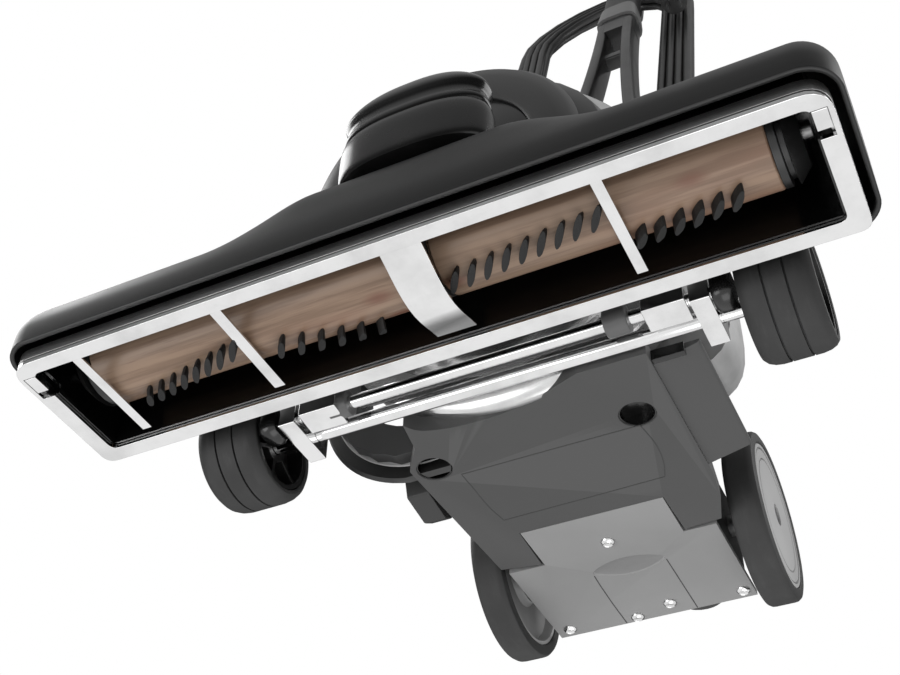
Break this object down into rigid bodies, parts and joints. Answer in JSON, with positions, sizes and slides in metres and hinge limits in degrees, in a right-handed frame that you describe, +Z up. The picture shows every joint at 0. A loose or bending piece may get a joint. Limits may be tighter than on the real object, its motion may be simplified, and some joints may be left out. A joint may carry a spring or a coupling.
{
  "type": "upright roller sweeper",
  "caption": "Upright roller sweeper: wide black nozzle with a wooden brush roller behind chrome guards, a lamp, fan case, motor, wheels, a leaning fork handle and its wound cord",
  "frame": {"origin": "floor level under the middle of the object's overall box", "axes": "+Z up, front of the nozzle toward -Y, +X to the right of someone facing the front"},
  "size_m": [0.386, 0.5946, 1.0927],
  "materials": {
    "chrome": "polished",
    "brushed_band": "lengthwise brushed",
    "case_alloy": "polished casting",
    "satin_black": "satin",
    "gloss_black": "gloss",
    "dark_lens": "gloss",
    "bulb_glass": "clear",
    "dark_plastic": "fine grain",
    "mid_plastic": "satin",
    "steel": "turned",
    "roller_wood": "sealed",
    "bristle": "matte",
    "belt_rubber": "matte",
    "tyre_rubber": "matte",
    "cord_rubber": "matte"
  },
  "bodies": {
    "base": {"bottom_plate": "chrome", "nozzle_rim": "brushed_band", "roller_housing": "gloss_black", "nozzle_hood": "satin_black", "belt_guard": "chrome", "guard_strap_outer": "chrome", "guard_strap_left": "chrome", "guard_strap_right": "chrome", "roller_axle": "steel", "drive_belt": "belt_rubber", "fan_case": "case_alloy", "fan_cover": "satin_black", "exhaust_outlet": "dark_plastic", "outlet_flange": "mid_plastic", "side_cowl": "case_alloy", "motor_housing": "dark_plastic", "motor_stator": "steel", "lower_cover": "dark_plastic", "rear_plate": "mid_plastic", "chassis": "dark_plastic", "pivot_bar": "chrome", "bar_end_left": "gloss_black", "bar_end_right": "gloss_black", "bar_bracket_left": "chrome", "bar_bracket_right": "chrome", "lamp_bulb": "bulb_glass", "lamp_lens": "dark_lens"},
    "roller": {"roller_body": "roller_wood", "roller_cap_left": "dark_plastic", "roller_cap_right": "dark_plastic", "bristles_left": "bristle", "bristles_right": "bristle"},
    "motor": {"motor_shaft": "steel", "fan": "mid_plastic"},
    "carriage": {"front_axle": "chrome", "carriage_arm_left": "chrome", "carriage_arm_right": "chrome"},
    "front_wheel_left": {"front_tyre_left": "tyre_rubber", "front_hub_left": "satin_black"},
    "front_wheel_right": {"front_tyre_right": "tyre_rubber", "front_hub_right": "satin_black"},
    "rear_wheels": {"rear_axle": "steel", "rear_tyre_left": "tyre_rubber", "rear_disc_left": "mid_plastic", "rear_tyre_right": "tyre_rubber", "rear_disc_right": "mid_plastic"},
    "handle": {"handle_fork": "satin_black", "handle_collar": "mid_plastic", "handle_tube": "dark_plastic", "handle_grip": "satin_black", "strain_relief": "cord_rubber", "cord_hank": "cord_rubber", "plug": "cord_rubber"},
    "switch": {"switch_rocker": "mid_plastic"},
    "hook": {"cord_hook": "satin_black"},
    "lamp_lid": {"lamp_cap": "gloss_black"},
    "latch_left": {"plate_latch_left": "chrome"},
    "latch_right": {"plate_latch_right": "chrome"},
    "height_lever": {"height_pedal": "dark_plastic"},
    "drive_lever": {"drive_pedal": "satin_black"}
  },
  "joints": [
    {"name": "motor_spin", "type": "hinge", "parent": "base", "child": "motor", "pos_m": [0.0062, -0.14225, 0.126], "axis": [0, 1, 0], "continuous": true},
    {"name": "roller_spin", "type": "hinge", "parent": "base", "child": "roller", "pos_m": [0, -0.25525, 0.037], "axis": [1, 0, 0], "continuous": true},
    {"name": "height_adjust", "type": "hinge", "parent": "base", "child": "carriage", "pos_m": [0.0062, -0.19065, 0.0287], "axis": [1, 0, 0], "range_deg": [-20, 20]},
    {"name": "front_wheel_left", "type": "hinge", "parent": "carriage", "child": "front_wheel_left", "pos_m": [-0.1298, -0.17565, 0.0287], "axis": [1, 0, 0], "continuous": true},
    {"name": "front_wheel_right", "type": "hinge", "parent": "carriage", "child": "front_wheel_right", "pos_m": [0.1422, -0.17565, 0.0287], "axis": [1, 0, 0], "continuous": true},
    {"name": "rear_axle_spin", "type": "hinge", "parent": "base", "child": "rear_wheels", "pos_m": [0.0062, 0.01425, 0.0483], "axis": [1, 0, 0], "continuous": true},
    {"name": "handle_recline", "type": "hinge", "parent": "base", "child": "handle", "pos_m": [0.0062, -0.07625, 0.121], "axis": [-1, 0, 0], "range_deg": [0, 65]},
    {"name": "switch_press", "type": "hinge", "parent": "handle", "child": "switch", "pos_m": [0.0062, 0.205, 0.99322], "axis": [1, 0, 0], "range_deg": [0, 6]},
    {"name": "hook_turn", "type": "hinge", "parent": "handle", "child": "hook", "pos_m": [-0.0018, 0.18938, 0.82302], "axis": [0, 0.9487, -0.3162], "range_deg": [0, 180]},
    {"name": "lamp_lift", "type": "hinge", "parent": "base", "child": "lamp_lid", "pos_m": [0.009, -0.25825, 0.1003], "axis": [-1, 0, 0], "range_deg": [0, 50]},
    {"name": "latch_left", "type": "slide", "parent": "base", "child": "latch_left", "axis": [0, 1, 0], "range_m": [0, 0.004]},
    {"name": "latch_right", "type": "slide", "parent": "base", "child": "latch_right", "axis": [0, 1, 0], "range_m": [0, 0.004]},
    {"name": "height_pedal_press", "type": "hinge", "parent": "base", "child": "height_lever", "pos_m": [-0.07, -0.09225, 0.042], "axis": [1, 0, 0], "range_deg": [0, 12], "stiffness_Nm_per_rad": 1},
    {"name": "drive_pedal_press", "type": "hinge", "parent": "base", "child": "drive_lever", "pos_m": [0.0062, 0.01435, 0.0695], "axis": [-1, 0, 0], "range_deg": [0, 6], "stiffness_Nm_per_rad": 2}
  ],
  "couplings": [
    {"joint": "roller_spin", "follows": "motor_spin", "ratio": 0.56}
  ]
}
